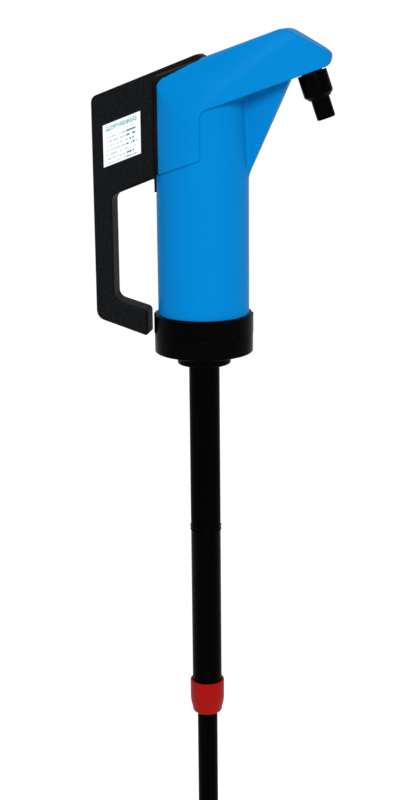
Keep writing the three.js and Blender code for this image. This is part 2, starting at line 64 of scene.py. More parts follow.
# ---------------------------------------------------------------- driving dimensions
# Barrel and hood. The hood's lower edge plane and its roof both climb towards the nose by RISE.
BARREL_R = corner("pump_body", 1, 1)
BARREL_WALL = 3.0
BARREL_FOOT = corner("pump_body", 0, 2)
HOOD_R = corner("hood_cover", 1, 1)
HOOD_WALL = 2.1
NOSE_X = corner("hood_cover", 1, 0)
NOSE_R = 20.0
RISE = 0.354
BEAK_LOW_Z = 244.7
ROOF_Z = 296.6
SKIRT_LOW_Z = 198.5
SKIRT_FRONT_X = 7.0
RIDGE_END_X = 85.6
NOSE_BEVEL = 0.55
SLOT_HALF = 29.5
SLOT_REAR_X = -75.0
SLOT_TAPER_X = -30.0
SLOT_STEP_X = 5.0
ROOF_HALF = 25.0
SLOT_FRONT_HALF = 15.5
SLOT_FRONT_X = 43.0

# Lever and its label
PIVOT = Vector((midpoint("pivot_pin", 0), 0.0, midpoint("pivot_pin", 2)))
PIN_HOLE_R = 4.15
LEVER_T = 28.0
LEVER_X = corner("lever_handle", 0, 0)
LABEL_X = corner("lever_label", 0, 0)
LABEL_Z = corner("lever_label", 0, 2)
LABEL_W = corner("lever_label", 1, 0) - LABEL_X
LABEL_SLOPE = 0.385
LABEL_H = corner("lever_label", 1, 2) - LABEL_Z - LABEL_SLOPE * LABEL_W
LABEL_ROW = 4.3

# Spout: its pieces are turned about its own axis, with their z from the point SPOUT on it.
SPOUT = Vector((110.0, 0.0, 283.6))
SPOUT_TILT = -0.329
SPOUT_HOLE_R = 11.0
COLLAR_R = 14.8
NOZZLE_R = 9.35
NOZZLE_END = -47.2
SPOUT_FACETS = 96

# Union nut, boss and suction tubes
NUT_R = corner("union_nut", 1, 1)
NUT_TOP = corner("union_nut", 1, 2)
NUT_RING_TOP = 19.5
NUT_LUGS = 6
BOSS_R = 27.9
BOSS_LOW = corner("base_flange", 0, 2)
OUTER_TUBE_R = 16.0
OUTER_TUBE_LOW = corner("outer_tube", 0, 2)
INNER_TUBE_R = corner("inner_tube", 1, 0)
INNER_TUBE_LOW = corner("inner_tube", 0, 2)
INNER_TUBE_TOP = corner("inner_tube", 1, 2)
CLAMP_R = corner("clamp_nut", 1, 0)
CLAMP_TOP = corner("clamp_nut", 1, 2)
CLAMP_LOW = corner("clamp_nut", 0, 2)

# Worked out from the sizes above
SLOPE_COS = 1 / math.hypot(1, RISE)
BEAK_DEPTH = (ROOF_Z - BEAK_LOW_Z) * SLOPE_COS

# ---------------------------------------------------------------- camera
CAMERA_AZIMUTH = math.radians(11.3)
CAMERA_DISTANCE = 1.5
CAMERA_HEIGHT = 0.3535
CAMERA_PITCH = math.radians(15.2)
CAMERA_ROLL = math.radians(-0.55)
CAMERA_LENS = 66.4
CAMERA_SHIFT_X = -0.0008


def make_camera():
    """A camera in front of the pump, a little to the spout's side, looking slightly down."""
    data = bpy.data.cameras.new("camera")
    data.lens = CAMERA_LENS
    data.sensor_width = 36.0
    data.shift_x = CAMERA_SHIFT_X
    data.clip_start = 0.05
    data.clip_end = 10000.0
    camera = bpy.data.objects.new("camera", data)
    bpy.context.scene.collection.objects.link(camera)
    camera.location = (
        CAMERA_DISTANCE * math.sin(CAMERA_AZIMUTH),
        -CAMERA_DISTANCE * math.cos(CAMERA_AZIMUTH),
        CAMERA_HEIGHT,
    )
    turn = Matrix.Rotation(CAMERA_AZIMUTH, 3, "Z")
    tilt = Matrix.Rotation(math.pi / 2 - CAMERA_PITCH, 3, "X")
    roll = Matrix.Rotation(CAMERA_ROLL, 3, "Z")
    camera.rotation_euler = (turn @ tilt @ roll).to_euler()
    bpy.context.scene.camera = camera


make_camera()


# ---------------------------------------------------------------- mesh building
def mesh_object(name, points, faces, normals=None, sharp=None):
    """A mesh object in metres from points in millimetres."""
    mesh = bpy.data.meshes.new(name)
    mesh.from_pydata((np.asarray(points, float) * MM).tolist(), [], [list(f) for f in faces])
    mesh.validate()
    mesh.polygons.foreach_set("use_smooth", [True] * len(mesh.polygons))
    if sharp is not None:
        mesh.set_sharp_from_angle(angle=math.radians(sharp))
    if normals is not None and len(normals) == len(mesh.vertices):
        mesh.normals_split_custom_set_from_vertices(normals.tolist())
    made = bpy.data.objects.new(name, mesh)
    bpy.context.scene.collection.objects.link(made)
    return made


def arc(centre, radius, start, end, steps=6):
    """Points (r, z) on an arc, with angles in degrees from +r towards +z."""
    return [
        (centre[0] + radius * math.cos(math.radians(a)), centre[1] + radius * math.sin(math.radians(a)))
        for a in np.linspace(start, end, steps + 1)
    ]


def turned(name, outline, facets=128, sharp=35, shape=None):
    """Revolves a closed outline of (r, z) points about Z. shape(angle, r, z) gives a point's own (r, z)."""
    outline = [p for i, p in enumerate(outline) if math.dist(p, outline[i - 1]) > 1e-4]
    count = len(outline)
    points = []
    for i in range(facets):
        angle = 2 * math.pi * i / facets
        for r, z in outline:
            radius, height = shape(angle, r, z) if shape else (r, z)
            points.append((radius * math.cos(angle), radius * math.sin(angle), height))
    faces = []
    for i in range(facets):
        here, there = i * count, (i + 1) % facets * count
        for j in range(count):
            k = (j + 1) % count
            faces.append((here + j, there + j, there + k, here + k))
    made = mesh_object(name, points, faces, sharp=sharp)
    outward(made.data)
    return made


def outward(mesh):
    """Turns every face outwards if the mesh is inside out."""
    bm = bmesh.new()
    bm.from_mesh(mesh)
    if bm.calc_volume(signed=True) < 0:
        bmesh.ops.reverse_faces(bm, faces=bm.faces)
        bm.to_mesh(mesh)
    bm.free()


# ---------------------------------------------------------------- shapes as distance fields
def smooth_max(a, b, radius):
    """The part inside both shapes, with the edge between them rounded."""
    u = np.maximum(a + radius, 0)
    v = np.maximum(b + radius, 0)
    return np.minimum(-radius, np.maximum(a, b)) + np.hypot(u, v)


def smooth_min(a, b, radius):
    """Both shapes together, with the corner between them filled."""
    return -smooth_max(-a, -b, radius)


def polygon_field(u, v, corners):
    """Signed distance in a plane to a closed polygon."""
    distance = np.full(u.shape, np.inf)
    inside = np.zeros(u.shape, bool)
    count = len(corners)
    for i in range(count):
        (au, av), (bu, bv) = corners[i - 1], corners[i]
        eu, ev = bu - au, bv - av
        wu, wv = u - au, v - av
        t = np.clip((wu * eu + wv * ev) / (eu * eu + ev * ev), 0, 1)
        distance = np.minimum(distance, (wu - eu * t) ** 2 + (wv - ev * t) ** 2)
        crosses = (av > v) != (bv > v)
        with np.errstate(divide="ignore", invalid="ignore"):
            inside ^= crosses & (u < (bu - au) * (v - av) / (bv - av) + au)
    return np.where(inside, -1, 1) * np.sqrt(distance)


def rounded_outline(corners, steps=6):
    """A closed outline of (u, v, radius) corners with each corner turned into an arc's points."""
    made = []
    count = len(corners)
    for i, (u, v, radius) in enumerate(corners):
        here = Vector((u, v))
        before = Vector(corners[i - 1][:2]) - here
        after = Vector(corners[(i + 1) % count][:2]) - here
        if radius == 0:
            made.append((u, v))
            continue
        reach = radius / math.tan(before.angle(after) / 2)
        start = here + before.normalized() * reach
        end = here + after.normalized() * reach
        middle = (before.normalized() + after.normalized()).normalized()
        centre = here + middle * math.hypot(reach, radius)
        first = start - centre
        sweep = first.angle_signed(end - centre)
        for k in range(steps + 1):
            turn = Matrix.Rotation(-sweep * k / steps, 2)
            made.append(tuple(centre + turn @ first))
    return made


def slices(axis, part):
    """An index for a 3-D grid that takes a part of one axis and all of the other two."""
    cut = [slice(None)] * 3
    cut[axis] = part
    return tuple(cut)


def net_points(value):
    """Surface nets: a point in each grid cell that the surface crosses, at the mean of the crossings on
    the cell's edges, in grid steps. Also the grid of the points' numbers."""
    inside = value < 0
    shape = np.array(value.shape) - 1
    total = np.zeros(shape, int)
    centre = np.zeros((*shape, 3))
    hits = np.zeros(shape)
    for dx, dy, dz in np.ndindex(2, 2, 2):
        total += inside[dx:dx + shape[0], dy:dy + shape[1], dz:dz + shape[2]]
    for axis in range(3):
        a = value[slices(axis, slice(None, -1))]
        b = value[slices(axis, slice(1, None))]
        crosses = (a < 0) != (b < 0)
        share = np.where(crosses, a / np.where(crosses, a - b, 1), 0)
        first, second = [k for k in range(3) if k != axis]
        for da, db in np.ndindex(2, 2):
            cut = [slice(None)] * 3
            cut[first] = slice(da, da + shape[first])
            cut[second] = slice(db, db + shape[second])
            hit = crosses[tuple(cut)]
            hits += hit
            centre[..., axis] += share[tuple(cut)] * hit
            centre[..., first] += da * hit
            centre[..., second] += db * hit
    mixed = (total > 0) & (total < 8)
    index = np.full(shape, -1)
    index[mixed] = np.arange(mixed.sum())
    return np.argwhere(mixed) + centre[mixed] / np.maximum(hits[mixed], 1)[:, None], index


def gradient(field, points):
    """The field's slope at each point, by central differences."""
    eps = 0.02
    parts = []
    for axis in range(3):
        shift = np.zeros(3)
        shift[axis] = eps
        ahead = field(*(points + shift).T)
        behind = field(*(points - shift).T)
        parts.append((ahead - behind) / (2 * eps))
    return np.stack(parts, axis=1)


def skin(name, field, low, high, step):
    """A mesh of the surface where the field is zero, by surface nets on a grid, with every point then
    moved on to the surface along the field's gradient."""
    axes = [np.arange(a, b + step, step) for a, b in zip(low, high)]
    value = field(*np.meshgrid(*axes, indexing="ij"))
    cells, index = net_points(value)
    points = cells * step + np.array(low)
    for _ in range(4):
        slope = gradient(field, points)
        steepness = np.maximum((slope ** 2).sum(1), 1e-3)
        move = -(field(*points.T) / steepness)[:, None] * slope
        length = np.linalg.norm(move, axis=1)[:, None]
        points = points + move * np.minimum(1, 0.5 * step / np.maximum(length, 1e-9))
    slope = gradient(field, points)
    normals = slope / np.maximum(np.linalg.norm(slope, axis=1), 1e-9)[:, None]
    return mesh_object(name, points, net_faces(value < 0, index), normals=normals)


def net_faces(inside, index):
    """The quads of a surface net: one for each grid edge that crosses the surface."""
    faces = []
    for axis in range(3):
        others = [k for k in range(3) if k != axis]
        along = [slice(1, -1)] * 3
        along[axis] = slice(None, -1)
        beyond = [slice(1, -1)] * 3
        beyond[axis] = slice(1, None)
        a, b = inside[tuple(along)], inside[tuple(beyond)]
        where = np.argwhere(a != b)
        leaving = a[tuple(where.T)]
        base = where.copy()
        for k in others:
            base[:, k] += 1
        ring = []
        for da, db in ((1, 1), (0, 1), (0, 0), (1, 0)):
            cell = base.copy()
            cell[:, others[0]] -= da
            cell[:, others[1]] -= db
            ring.append(index[tuple(cell.T)])
        quads = np.stack(ring, axis=1)
        flip = leaving if axis == 1 else ~leaving
        quads[flip] = quads[flip][:, ::-1]
        faces.append(quads)
    return np.concatenate(faces).tolist()


# ---------------------------------------------------------------- the hood's outline
def vault_half_width(samples=200):
    """The hood's half width against height above its lower edge plane, as two sampled columns."""
    t = np.linspace(0, 1, samples)[:, None]
    ends = np.array([(HOOD_R, 0), (HOOD_R - 3, 16), (ROOF_HALF + 14, 36), (ROOF_HALF, BEAK_DEPTH)], float)
    curve = ((1 - t) ** 3 * ends[0] + 3 * (1 - t) ** 2 * t * ends[1]
             + 3 * (1 - t) * t ** 2 * ends[2] + t ** 3 * ends[3])
    return curve[:, 1], curve[:, 0]


VAULT_H, VAULT_W = vault_half_width()


def height_over_beak(x, z):
    """Height above the sloping plane of the hood's lower edge, square to it."""
    return (z - BEAK_LOW_Z - RISE * x) * SLOPE_COS


def plan_field(x, y, inset=0.0):
    """Distance to the hood's outline seen from above: a round rear that runs in to a round nose."""
    rear, nose = HOOD_R - inset, NOSE_R - inset
    length = NOSE_X - NOSE_R
    b = (rear - nose) / length
    a = math.sqrt(1 - b * b)
    side = np.abs(y)
    k = a * x - b * side
    flank = a * side + b * x - rear
    return np.where(k < 0, np.hypot(x, y) - rear,
                    np.where(k > a * length, np.hypot(x - length, y) - nose, flank))


def vault_field(x, y, z, inset=0.0):
    """Distance to the hood's arched cross-section."""
    h = height_over_beak(x, z)
    width = np.interp(h, VAULT_H, VAULT_W)
    lean = (np.interp(h + 0.5, VAULT_H, VAULT_W) - np.interp(h - 0.5, VAULT_H, VAULT_W))
    return (np.abs(y) - width) / np.hypot(1, lean) + inset


def roof_field(x, z, inset=0.0):
    """Distance to the hood's side view: the sloping roof, its round rear and the bevel over the nose."""
    roof = height_over_beak(x, z) - BEAK_DEPTH
    ridge_z = ROOF_Z + RISE * RIDGE_END_X
    bevel = (z - ridge_z + NOSE_BEVEL * (x - RIDGE_END_X)) / math.hypot(1, NOSE_BEVEL)
    rear = smooth_max(roof, -(x + HOOD_R), 9)
    return smooth_max(rear, bevel, 5) + inset


def hood_mass(x, y, z, inset=0.0):
    """The hood's outer form without its lower edges. An inset moves its walls inwards. The walls run in
    to the vault with a wide blend, which is tighter low down and at the rear."""
    widest_blend = np.interp(x, [-40, 10], [4, 12])
    blend = np.clip(height_over_beak(x, z) * 0.3, 0.5, widest_blend)
    walls = smooth_max(plan_field(x, y, inset), vault_field(x, y, z, inset), blend)
    return smooth_max(walls, roof_field(x, z, inset), 3)


def below_hood(x, z):
    """Negative above the hood's lower edges, which step up from the rear skirt to the beak."""
    skirt = (SKIRT_LOW_Z + RISE * x - z) * SLOPE_COS
    rear = smooth_max(x - SKIRT_FRONT_X, skirt, 1.5)
    beak = smooth_max(-height_over_beak(x, z), x - NOSE_X, 9)
    return smooth_min(rear, beak, 5)


# Corners (x, y, radius) of the lever's slot seen from above
SLOT_OUTLINE = rounded_outline([
    (SLOT_REAR_X, -SLOT_HALF, 0), (SLOT_TAPER_X, -SLOT_HALF, 8), (SLOT_STEP_X - 2, -ROOF_HALF, 4),
    (SLOT_STEP_X, -SLOT_FRONT_HALF, 0.6), (SLOT_FRONT_X, -SLOT_FRONT_HALF, 5),
    (SLOT_FRONT_X, SLOT_FRONT_HALF, 5), (SLOT_STEP_X, SLOT_FRONT_HALF, 0.6),
    (SLOT_STEP_X - 2, ROOF_HALF, 4), (SLOT_TAPER_X, SLOT_HALF, 8), (SLOT_REAR_X, SLOT_HALF, 0),
])


def slot_zone(x, z):
    """Negative where the lever's slot may cut the hood: its roof and its rear."""
    return np.minimum(-(height_over_beak(x, z) - 12), x - SLOT_TAPER_X)


def make_hood():
    """The cover over the barrel's top and the beak: a shell with the lever's slot in its roof and rear."""
    def field(x, y, z):
        outer = smooth_max(hood_mass(x, y, z), below_hood(x, z), 1.3)
        shell = smooth_max(outer, -hood_mass(x, y, z, HOOD_WALL), 0.5)
        slot = np.maximum(polygon_field(x, y, SLOT_OUTLINE), slot_zone(x, z))
        return smooth_max(shell, -slot, 0.7)

    low = (-HOOD_R - 2, -HOOD_R - 2, corner("hood_cover", 0, 2) - 5)
    high = (NOSE_X + 2, HOOD_R + 2, corner("hood_cover", 1, 2) + 3)
    return skin("hood", field, low, high, 1.0)


# ---------------------------------------------------------------- the body
def make_body():
    """The barrel, open at both ends, with the keel, the beak's floor and the ears for the lever's pin."""
    floor_low, floor_high = 1.2 * SLOPE_COS, 4.2 * SLOPE_COS
    inner_r = BARREL_R - BARREL_WALL
    hood_gap = HOOD_WALL + 0.3
    ear_y, ear_half = 18, 3
    slot_low = 163.5
    keel_rear, keel_front, keel_tip = 40, 89.5, 94
    keel_outline = [
        (keel_rear, 176), (46.6, 180.5), (keel_front, BEAK_LOW_Z + RISE * keel_front + 0.5),
        (keel_tip, BEAK_LOW_Z + RISE * keel_tip + 3), (keel_rear, BEAK_LOW_Z + RISE * keel_rear + 3),
    ]
    ear_outline = rounded_outline([
        (PIVOT.x - 12, BEAK_LOW_Z + 8, 0), (PIVOT.x + 12, BEAK_LOW_Z + 17, 0),
        (PIVOT.x + 9, PIVOT.z + 8.5, 8), (PIVOT.x - 9, PIVOT.z + 8.5, 8),
    ])

    def field(x, y, z):
        h = height_over_beak(x, z)
        radius = np.hypot(x, y)
        barrel = np.maximum(radius - BARREL_R, BARREL_FOOT - z)
        under_hood = np.where(h > -6, vault_field(x, y, z, hood_gap), -9)
        barrel = np.maximum(barrel, under_hood)
        keel_half = np.clip(4 + (z - 180) * 0.1, 3, 11)
        keel = smooth_max(polygon_field(x, z, keel_outline), np.abs(y) - keel_half, 2)
        outer = smooth_min(barrel, keel, 2.5)
        outer = smooth_max(outer, h - floor_high, 0.8)
        hollow = smooth_max(outer, inner_r - radius, 0.6)
        plan = np.maximum(plan_field(x, y, hood_gap), 45.5 - radius)
        nose = roof_field(x, z, hood_gap)
        floor = np.maximum(np.maximum(plan, nose), np.maximum(floor_low - h, h - floor_high))
        floor = np.maximum(floor, 10 - x)
        ears = np.maximum(polygon_field(x, z, ear_outline), np.abs(np.abs(y) - ear_y) - ear_half)
        whole = smooth_min(smooth_min(hollow, floor, 1.0), ears, 1.0)
        slot = np.maximum(np.maximum(np.abs(y) - SLOT_FRONT_HALF, x - SLOT_TAPER_X), slot_low - z)
        whole = smooth_max(whole, -slot, 0.8)
        pin = np.hypot(x - PIVOT.x, z - PIVOT.z) - PIN_HOLE_R
        spout = spout_axis_distance(x, y, z) - SPOUT_HOLE_R
        return np.maximum(np.maximum(whole, -pin), -spout)

    low = (-BARREL_R - 2, -BARREL_R - 2, BARREL_FOOT - 2)
    high = (NOSE_X + 1, BARREL_R + 2, PIVOT.z + 11)
    return skin("barrel_and_keel", field, low, high, 1.25)


def spout_axis_distance(x, y, z):
    """Distance from the spout's tilted axis."""
    ax, az = math.sin(-SPOUT_TILT), -math.cos(SPOUT_TILT)
    across = (x - SPOUT.x) * az - (z - SPOUT.z) * ax
    return np.hypot(across, y)


# ---------------------------------------------------------------- the lever
# Corners (x, z, radius) of the blade, from the top of its back round to the foot of the grip
LEVER_OUTLINE = [
    (LEVER_X, 259.6, 8), (-2, 301.7, 5), (9, 296.2, 5), (PIVOT.x + 10, PIVOT.z + 10, 7.5),
    (PIVOT.x + 10, PIVOT.z - 10, 8.5), (PIVOT.x - 4, PIVOT.z - 11, 6), (10, 255, 8), (-20, 246, 8),
    (-41.5, 232, 6), (-41.5, 181.2, 5), (-92, 160.9, 9), (-92, 53.8, 9), (-57, 43.2, 5),
    (-57, 15.5, 2.5), (LEVER_X, 33.6, 11),
]
LEVER_EDGE = 3.2


def make_lever():
    """The blade with its stop, the shield that fills the hood's slot, and the cuts for rod and pins."""
    blade_outline = rounded_outline(LEVER_OUTLINE)
    groove_half, bore_r, shield_low = 5.7, 6.3, 184
    slot_reach, slot_travel, slot_r, slot_offset = 42.5, 4.2, 4.3, 0.7
    stop_outline = [(-41.5, 195), (-41.5, 165), (-47.5, 165), (-47.5, 195)]
    groove_outline = [(-9, 200), (27, 200), (27, 274), (18, 284), (-4, 284), (-9, 278)]
    pin_z = corner("rod_pin", 0, 2) + 3
    reach = Vector((PIVOT.x, PIVOT.z - pin_z))

    def field(x, y, z):
        blade = smooth_max(polygon_field(x, z, blade_outline), np.abs(y) - LEVER_T / 2, LEVER_EDGE)
        stop = smooth_max(polygon_field(x, z, stop_outline), np.abs(y) - LEVER_T / 2 + 1, 1.5)
        shield = np.maximum(hood_mass(x, y, z, 0.2), -hood_mass(x, y, z, HOOD_WALL + 0.1))
        slot = np.maximum(polygon_field(x, y, SLOT_OUTLINE) + 1.0, slot_zone(x, z))
        shield = smooth_max(smooth_max(shield, slot, 0.6), np.maximum(shield_low - z, x), 0.6)
        whole = smooth_min(smooth_min(blade, stop, 1.5), shield, 1.5)
        groove = np.maximum(polygon_field(x, z, groove_outline), np.abs(y) - groove_half)
        along = ((PIVOT.x - x) * reach.x + (PIVOT.z - z) * reach.y) / reach.length
        across = ((PIVOT.x - x) * reach.y - (PIVOT.z - z) * reach.x) / reach.length + slot_offset
        past_travel = np.maximum(np.abs(along - slot_reach) - slot_travel, 0)
        pin_slot = np.hypot(past_travel, across) - slot_r
        bore = np.hypot(x - PIVOT.x, z - PIVOT.z) - bore_r
        cut = np.minimum(np.minimum(groove, pin_slot), bore)
        return smooth_max(whole, -cut, 0.6)

    low = (LEVER_X - 2, -SLOT_HALF - 1, corner("lever_handle", 0, 2) - 4)
    high = (PIVOT.x + 12, SLOT_HALF + 1, corner("lever_handle", 1, 2) + 3)
    return skin("lever", field, low, high, 1.15)


# ---------------------------------------------------------------- turned pieces
def make_union_nut():
    """A plain ring below and wide grip lugs above, with a lip inside that holds the boss's flange."""
    bore, lip_bore, lip_top = 47.5, BOSS_R + 0.4, 4.8
    root, side = NUT_R - 1.5, NUT_R - 0.4
    foot_edge, ring_edge = 1.2, 0.8
    outline = [
        (lip_bore, 0.5), (lip_bore + 0.5, 0), *arc((side - foot_edge, foot_edge), foot_edge, -90, 0, 6),
        (side, NUT_RING_TOP - ring_edge),
        *arc((side - ring_edge, NUT_RING_TOP - ring_edge), ring_edge, 0, 90, 5),
        (root, NUT_RING_TOP + 0.1), (root, NUT_RING_TOP + 1.5),
        (root, NUT_TOP - 4), (root, NUT_TOP - 1.6),
        *arc((root - foot_edge, NUT_TOP - foot_edge), foot_edge, 0, 90, 5),
        (bore, NUT_TOP), (bore, lip_top), (lip_bore, lip_top),
    ]
    pitch = 2 * math.pi / NUT_LUGS
    gap_half, flank_width = 4.8 / NUT_R, 0.022
    phase = math.radians(20)

    def lug(angle, r, z):
        if r < root - 1.3 or z < NUT_RING_TOP + 0.05:
            return r, z
        offset = abs((angle - phase + pitch / 2) % pitch - pitch / 2)
        rise = min(max((offset - gap_half) / flank_width + 0.5, 0), 1)
        top = min(1.0, NUT_TOP - z + 0.15)
        return r + (NUT_R - root) * (3 * rise ** 2 - 2 * rise ** 3) * top, z

    return turned("union_nut_skin", outline, 360, 40, lug)


def make_boss():
    """The boss that seats in the bung, with the flange that the nut holds and a socket for the tube."""
    flange_r, flange_low, top = 43.5, 5.1, 10.5
    socket, socket_top, bore = OUTER_TUBE_R + 0.2, 4, 9
    edge = 1.3
    return turned("bung_boss", [
        (socket, BOSS_LOW + 0.6), (socket + 0.6, BOSS_LOW),
        *arc((BOSS_R - edge, BOSS_LOW + edge), edge, -90, 0, 6),
        (BOSS_R, flange_low), (flange_r, flange_low), (flange_r, top),
        (bore + 1.5, top), (bore, top - 3), (bore, socket_top), (socket, socket_top),
    ])


def make_outer_tube():
    """The upper suction tube, with its two beads and the step down inside the red nut."""
    bore, top = 13.4, 3.7
    bead_r, bead_reach = 0.8, 1.2
    outline = [(bore, top), (OUTER_TUBE_R - 0.3, top), (OUTER_TUBE_R, top - 0.3)]
    for z in (-193.0, -197.0):
        outline += [
            (OUTER_TUBE_R, z + bead_reach), *arc((OUTER_TUBE_R, z), bead_r, 80, -80, 8),
            (OUTER_TUBE_R, z - bead_reach),
        ]
    step_z, step_r = CLAMP_TOP - 14, OUTER_TUBE_R - 0.8
    outline += [
        (OUTER_TUBE_R, step_z), (step_r, step_z - 1), (step_r, OUTER_TUBE_LOW), (bore, OUTER_TUBE_LOW),
    ]
    return turned("upper_tube", outline)


def make_inner_tube():
    """The lower suction tube, with four notches in its end."""
    bore, edge = 9.2, 0.4
    notch_half, notch_h = 3.5, 7.0
    quarter = math.pi / 2
    above_notch = INNER_TUBE_LOW + notch_h + 3
    outline = [
        (bore, INNER_TUBE_TOP), (INNER_TUBE_R - edge, INNER_TUBE_TOP),
        (INNER_TUBE_R, INNER_TUBE_TOP - edge),
        (INNER_TUBE_R, above_notch), (INNER_TUBE_R, INNER_TUBE_LOW + edge),
        (INNER_TUBE_R - edge, INNER_TUBE_LOW), (bore, INNER_TUBE_LOW), (bore, above_notch),
    ]

    def notched(angle, r, z):
        offset = abs(angle % quarter - quarter / 2)
        in_notch = z < INNER_TUBE_LOW + 1 and INNER_TUBE_R * math.sin(offset) < notch_half
        return r, z + notch_h if in_notch else z

    return turned("lower_tube_skin", outline, 360, 40, notched)


def make_clamp_nut():
    """The red nut: round over at the top, tapered below, and bored for both tubes and the collet."""
    bore, tip_bore, collet_bore = OUTER_TUBE_R + 0.3, INNER_TUBE_R + 0.3, 15.4
    edge = 1.4
    taper = [
        (CLAMP_R, CLAMP_LOW + 17), (CLAMP_R - 0.3, CLAMP_LOW + 13.5), (CLAMP_R - 0.9, CLAMP_LOW + 10),
        (CLAMP_R - 1.7, CLAMP_LOW + 7), *arc((CLAMP_R - 5.4, CLAMP_LOW + 3.2), 3, 12, -80, 8),
    ]
    outline = [
        (bore, CLAMP_TOP - 0.5), (bore + 0.5, CLAMP_TOP),
        *arc((CLAMP_R - edge, CLAMP_TOP - edge), edge, 90, 0, 5), *taper,
        (INNER_TUBE_R + 0.8, CLAMP_LOW), (tip_bore, CLAMP_LOW), (tip_bore, CLAMP_LOW + 2.3),
        (tip_bore + 1.6, CLAMP_LOW + 2.3), (collet_bore, CLAMP_LOW + 11.5),
        (collet_bore, CLAMP_LOW + 18.4), (bore, CLAMP_LOW + 19.2),
    ]
    return turned("red_clamp_nut", outline)


def place_on_spout(piece):
    """Moves a piece turned about Z on to the spout's tilted axis."""
    piece.data.transform(Matrix.Translation(SPOUT * MM) @ Matrix.Rotation(SPOUT_TILT, 4, "Y"))
    return piece


def make_spout_collar():
    bore, neck_r, neck_top, shoulder_z = 7.2, 10.6, 4, -0.6
    socket_r, socket_top, low = NOZZLE_R + 0.3, -10, -26.5
    return place_on_spout(turned("spout_collar_skin", [
        (bore, neck_top), (neck_r, neck_top), (neck_r, shoulder_z),
        *arc((COLLAR_R - 0.8, shoulder_z - 0.8), 0.8, 90, 0, 4),
        *arc((COLLAR_R - 4.2, -20.6), 4.2, 0, -66, 8),
        (NOZZLE_R + 2.2, low + 0.9), (NOZZLE_R + 1.2, low),
        (socket_r, low), (socket_r, socket_top), (bore, socket_top),
    ], SPOUT_FACETS))


def make_spout_nozzle():
    bore, top, edge = 6.8, -12.1, 1.8
    return place_on_spout(turned("spout_nozzle_skin", [
        (bore, top), (NOZZLE_R, top), *arc((NOZZLE_R - edge, NOZZLE_END + edge), edge, 0, -90, 6),
        (bore + 0.3, NOZZLE_END), (bore, NOZZLE_END + 0.3),
    ], SPOUT_FACETS))


# ---------------------------------------------------------------- materials
def new_material(name):
    material = bpy.data.materials.new(name)
    material.use_nodes = True
    tree = material.node_tree
    return material, tree, tree.nodes["Principled BSDF"]


def add(tree, kind, **settings):
    node = tree.nodes.new(kind)
    for key, value in settings.items():
        if key in node.inputs:
            node.inputs[key].default_value = value
        else:
            setattr(node, key, value)
    return node


def noise(tree, scale, detail=3.0, stretch=None):
    """Noise on the object's own coordinates, stretched along an axis if asked. Scale is per metre."""
    coordinates = add(tree, "ShaderNodeTexCoord")
    texture = add(tree, "ShaderNodeTexNoise", Scale=scale, Detail=detail)
    if stretch:
        mapping = add(tree, "ShaderNodeMapping")
        mapping.inputs["Scale"].default_value = stretch
        tree.links.new(coordinates.outputs["Object"], mapping.inputs["Vector"])
        tree.links.new(mapping.outputs["Vector"], texture.inputs["Vector"])
    else:
        tree.links.new(coordinates.outputs["Object"], texture.inputs["Vector"])
    return texture.outputs["Fac"]


def spread(tree, factor, low, high):
    """Maps a noise factor on to a range."""
    node = add(tree, "ShaderNodeMapRange")
    node.inputs["From Min"].default_value = 0.25
    node.inputs["From Max"].default_value = 0.75
    node.inputs["To Min"].default_value = low
    node.inputs["To Max"].default_value = high
    tree.links.new(factor, node.inputs["Value"])
    return node.outputs["Result"]


def mix_colours(tree, factor, first, second):
    node = add(tree, "ShaderNodeMix", data_type="RGBA")
    tree.links.new(factor, node.inputs["Factor"])
    node.inputs["A"].default_value = (*first, 1)
    node.inputs["B"].default_value = (*second, 1)
    return node.outputs["Result"]


def bump(tree, shader, height, distance, strength=1.0):
    node = add(tree, "ShaderNodeBump", Strength=strength, Distance=distance)
    tree.links.new(height, node.inputs["Height"])
    tree.links.new(node.outputs["Normal"], shader.inputs["Normal"])


def linear(red, green, blue):
    """An sRGB colour, 0 to 255, as linear values."""
    return tuple(
        ((c / 255 + 0.055) / 1.055) ** 2.4 if c > 10 else c / 255 / 12.92
        for c in (red, green, blue)
    )


def moulded(name, dark, light, rough, grain_scale, grain_depth, gloss=0.5):
    """Moulded plastic: slight colour drift, uneven gloss and a fine surface grain."""
    material, tree, shader = new_material(name)
    drift = noise(tree, 18.0, 2.0)
    tree.links.new(mix_colours(tree, drift, dark, light), shader.inputs["Base Color"])
    tree.links.new(spread(tree, noise(tree, 160.0, 4.0), *rough), shader.inputs["Roughness"])
    shader.inputs["Specular IOR Level"].default_value = gloss
    bump(tree, shader, noise(tree, grain_scale, 2.0), grain_depth)
    return material


def grained(name, dark, light, rough):
    """Spark eroded black plastic: a mottled grain in the colour as well as in the surface."""
    material, tree, shader = new_material(name)
    grain = noise(tree, 420.0, 4.0)
    mottle = spread(tree, grain, 0.0, 1.0)
    tree.links.new(mix_colours(tree, mottle, dark, light), shader.inputs["Base Color"])
    tree.links.new(spread(tree, noise(tree, 160.0, 4.0), *rough), shader.inputs["Roughness"])
    shader.inputs["Specular IOR Level"].default_value = 0.05
    bump(tree, shader, noise(tree, 1500.0, 3.0), 0.00025)
    return material


